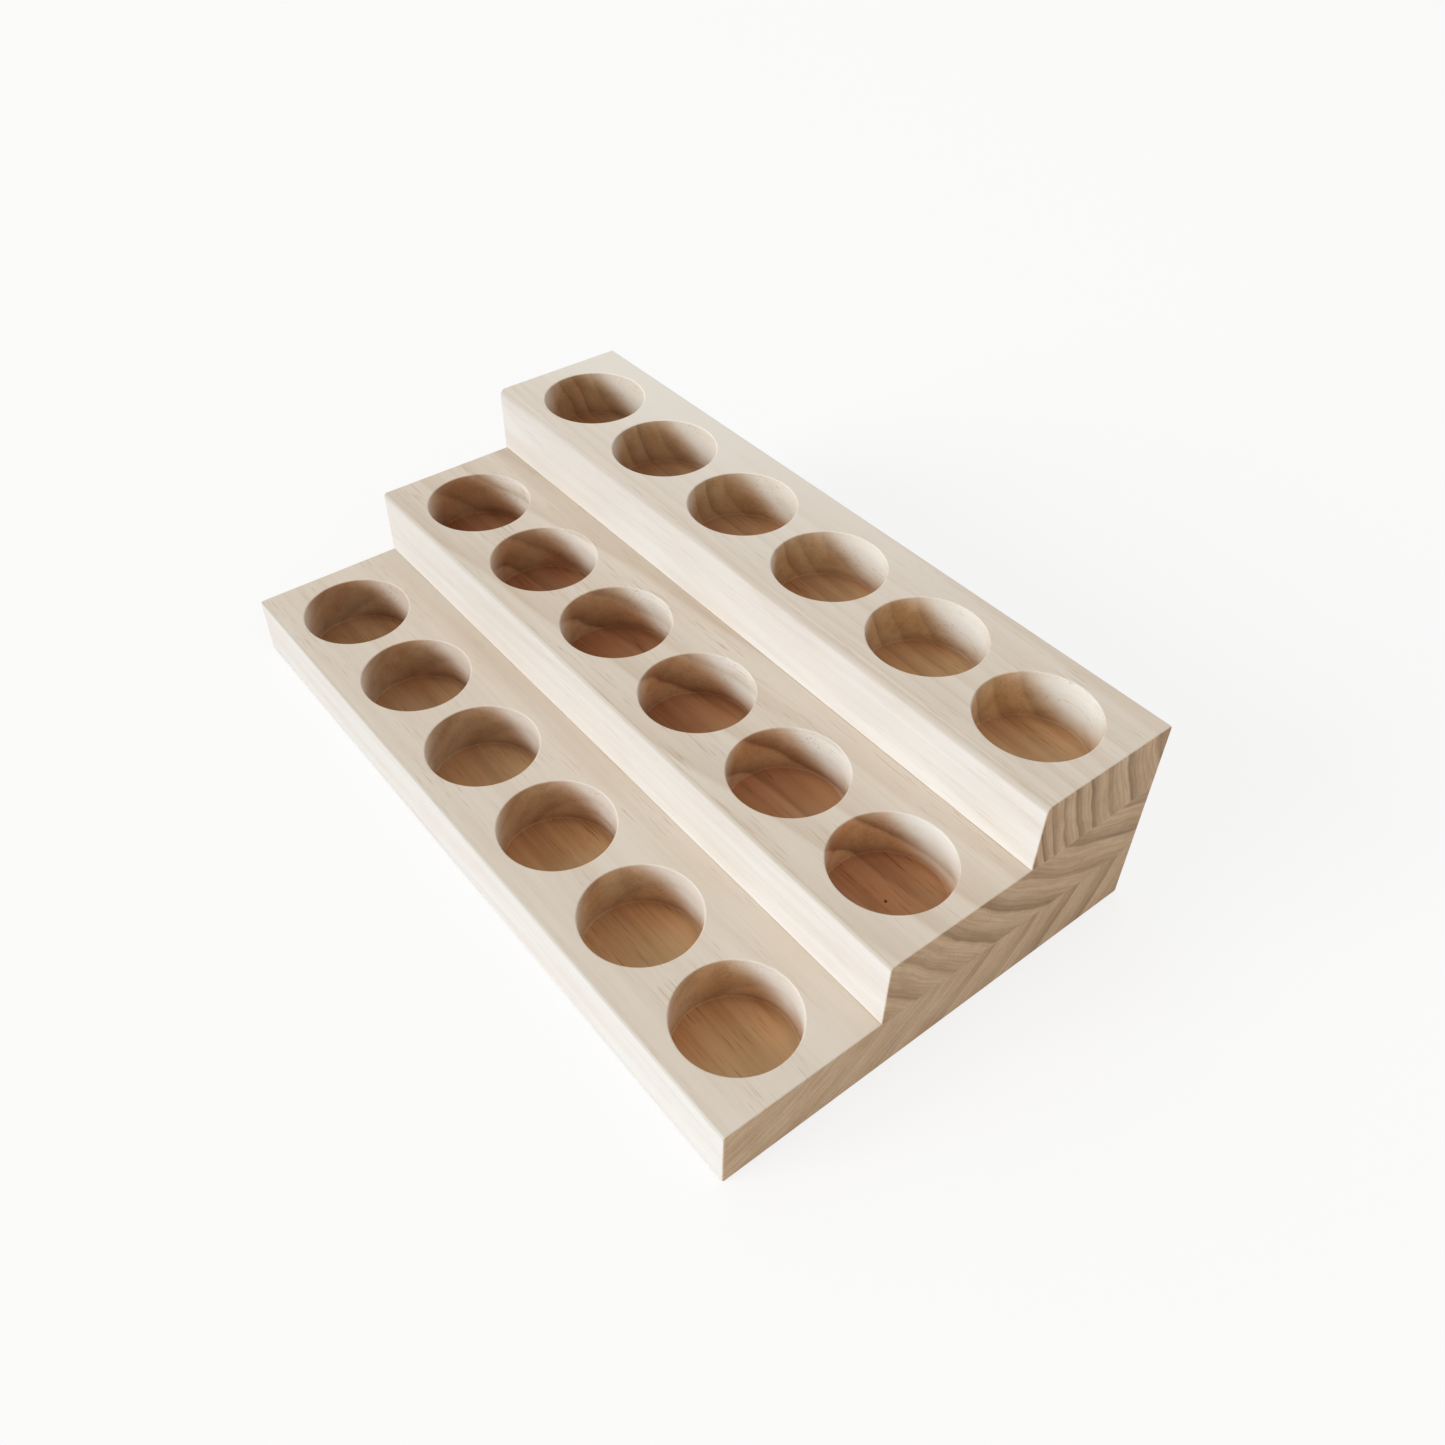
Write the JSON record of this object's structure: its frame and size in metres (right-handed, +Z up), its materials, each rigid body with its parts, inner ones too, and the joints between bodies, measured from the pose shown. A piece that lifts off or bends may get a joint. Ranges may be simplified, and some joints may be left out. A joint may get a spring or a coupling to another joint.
{
  "type": "paint rack organizer",
  "caption": "Stepped hobby rack of pine boards glued face to face, each step bored with a row of round blind pockets that hold small paint pots or bottles upright.",
  "frame": {"origin": "under the middle of the footprint, on the surface that the rack stands on", "axes": "+X along the rack, +Y from the low front step to the back, +Z up"},
  "size_m": [0.22, 0.129, 0.0584],
  "materials": {
    "pine": "sanded smooth, unfinished pale pine",
    "wood_glue": "cured wood glue, sanded flush at the joint"
  },
  "bodies": {
    "root": {"base_board": "pine", "middle_board": "pine", "top_board": "pine", "lower_glue_line": "wood_glue", "upper_glue_line": "wood_glue"}
  },
  "joints": []
}
